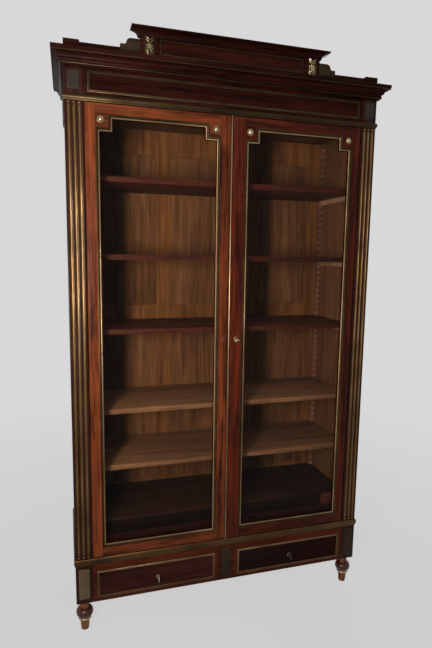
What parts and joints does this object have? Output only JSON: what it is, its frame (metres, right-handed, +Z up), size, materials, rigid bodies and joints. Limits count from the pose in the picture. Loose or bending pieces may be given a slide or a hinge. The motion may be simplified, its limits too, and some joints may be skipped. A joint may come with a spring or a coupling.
{
  "type": "glazed bookcase",
  "caption": "Tall free-standing bookcase with two glass doors, shelves and inner drawers behind them, drawers in the base, a stepped crowning and turned feet.",
  "frame": {"origin": "On the floor plane, under the middle of the overall box in X and Y.", "axes": "+Z is up. The doors and drawers face -Y. +X is to the right for a person who faces the doors."},
  "size_m": [1.43, 0.515, 2.5],
  "materials": {
    "mahogany": "french-polished mahogany, glossy, straight and flame grain",
    "oak": "waxed plain oak, satin",
    "brass": "aged lacquered brass",
    "steel": "aged iron",
    "glass": "clear window glass"
  },
  "bodies": {
    "carcase": {"side_left": "mahogany", "side_right": "mahogany", "post_left": "mahogany", "post_right": "mahogany", "bottom_board": "mahogany", "frieze_board": "mahogany", "cornice": "mahogany", "pediment_board": "mahogany", "pediment_cornice": "mahogany", "scroll_bracket_left": "mahogany", "scroll_bracket_right": "mahogany", "parapet_left": "mahogany", "parapet_right": "mahogany", "base_rail": "mahogany", "base_floor": "mahogany", "base_partition": "mahogany", "foot_front_left": "mahogany", "foot_front_right": "mahogany", "foot_back_left": "mahogany", "foot_back_right": "mahogany", "inner_case": "mahogany", "ceiling_board": "oak", "top_board": "oak", "back_frame": "oak", "back_boarding": "oak", "shelf_1": "oak", "shelf_2": "oak", "shelf_3": "oak", "shelf_4": "oak", "shelf_5": "oak", "shelf_rack_left": "oak", "shelf_rack_right": "oak", "frieze_bead": "brass", "architrave_moulding": "brass", "base_moulding": "brass", "cornice_astragal": "brass", "plaque_left": "brass", "plaque_right": "brass", "pivot_left_bottom": "brass", "pivot_left_top": "brass", "pivot_right_bottom": "brass", "pivot_right_top": "brass"},
    "door_left": {"door_frame_left": "mahogany", "door_glass_left": "glass", "door_bead_left": "brass", "door_astragal": "brass"},
    "door_right": {"door_frame_right": "mahogany", "door_glass_right": "glass", "door_bead_right": "brass", "door_lock": "brass"},
    "lock_bolt": {"lock_bolt": "steel"},
    "door_key": {"door_key": "steel"},
    "base_drawer_left": {"base_drawer_left": "mahogany", "base_drawer_bead_left": "brass"},
    "base_drawer_right": {"base_drawer_right": "mahogany", "base_drawer_bead_right": "brass"},
    "base_drawer_key_left": {"base_drawer_key_left": "steel"},
    "base_drawer_key_right": {"base_drawer_key_right": "steel"},
    "inner_drawer_left": {"inner_drawer_left": "mahogany"},
    "inner_drawer_right": {"inner_drawer_right": "mahogany"}
  },
  "joints": [
    {"name": "door_left_hinge", "type": "hinge", "parent": "carcase", "child": "door_left", "pos_m": [-0.593, -0.2075, 1.2785], "axis": [0, 0, -1], "range_deg": [0, 105]},
    {"name": "door_right_hinge", "type": "hinge", "parent": "carcase", "child": "door_right", "pos_m": [0.593, -0.2075, 1.2785], "axis": [0, 0, 1], "range_deg": [0, 105]},
    {"name": "door_key_turn", "type": "hinge", "parent": "door_right", "child": "door_key", "pos_m": [0.027, -0.2135, 1.275], "axis": [0, 1, 0], "range_deg": [0, 180]},
    {"name": "lock_bolt_slide", "type": "slide", "parent": "door_right", "child": "lock_bolt", "axis": [-1, 0, 0], "range_m": [0, 0.014]},
    {"name": "base_drawer_left_slide", "type": "slide", "parent": "carcase", "child": "base_drawer_left", "axis": [0, -1, 0], "range_m": [0, 0.3]},
    {"name": "base_drawer_right_slide", "type": "slide", "parent": "carcase", "child": "base_drawer_right", "axis": [0, -1, 0], "range_m": [0, 0.3]},
    {"name": "base_drawer_key_left_turn", "type": "hinge", "parent": "base_drawer_left", "child": "base_drawer_key_left", "pos_m": [-0.31825, -0.2135, 0.2125], "axis": [0, 1, 0], "range_deg": [0, 180]},
    {"name": "base_drawer_key_right_turn", "type": "hinge", "parent": "base_drawer_right", "child": "base_drawer_key_right", "pos_m": [0.31825, -0.2135, 0.2125], "axis": [0, 1, 0], "range_deg": [0, 180]},
    {"name": "inner_drawer_left_slide", "type": "slide", "parent": "carcase", "child": "inner_drawer_left", "axis": [0, -1, 0], "range_m": [0, 0.055]},
    {"name": "inner_drawer_right_slide", "type": "slide", "parent": "carcase", "child": "inner_drawer_right", "axis": [0, -1, 0], "range_m": [0, 0.055]}
  ],
  "couplings": [
    {"joint": "lock_bolt_slide", "follows": "door_key_turn", "m_per_rad": 0.004456}
  ]
}
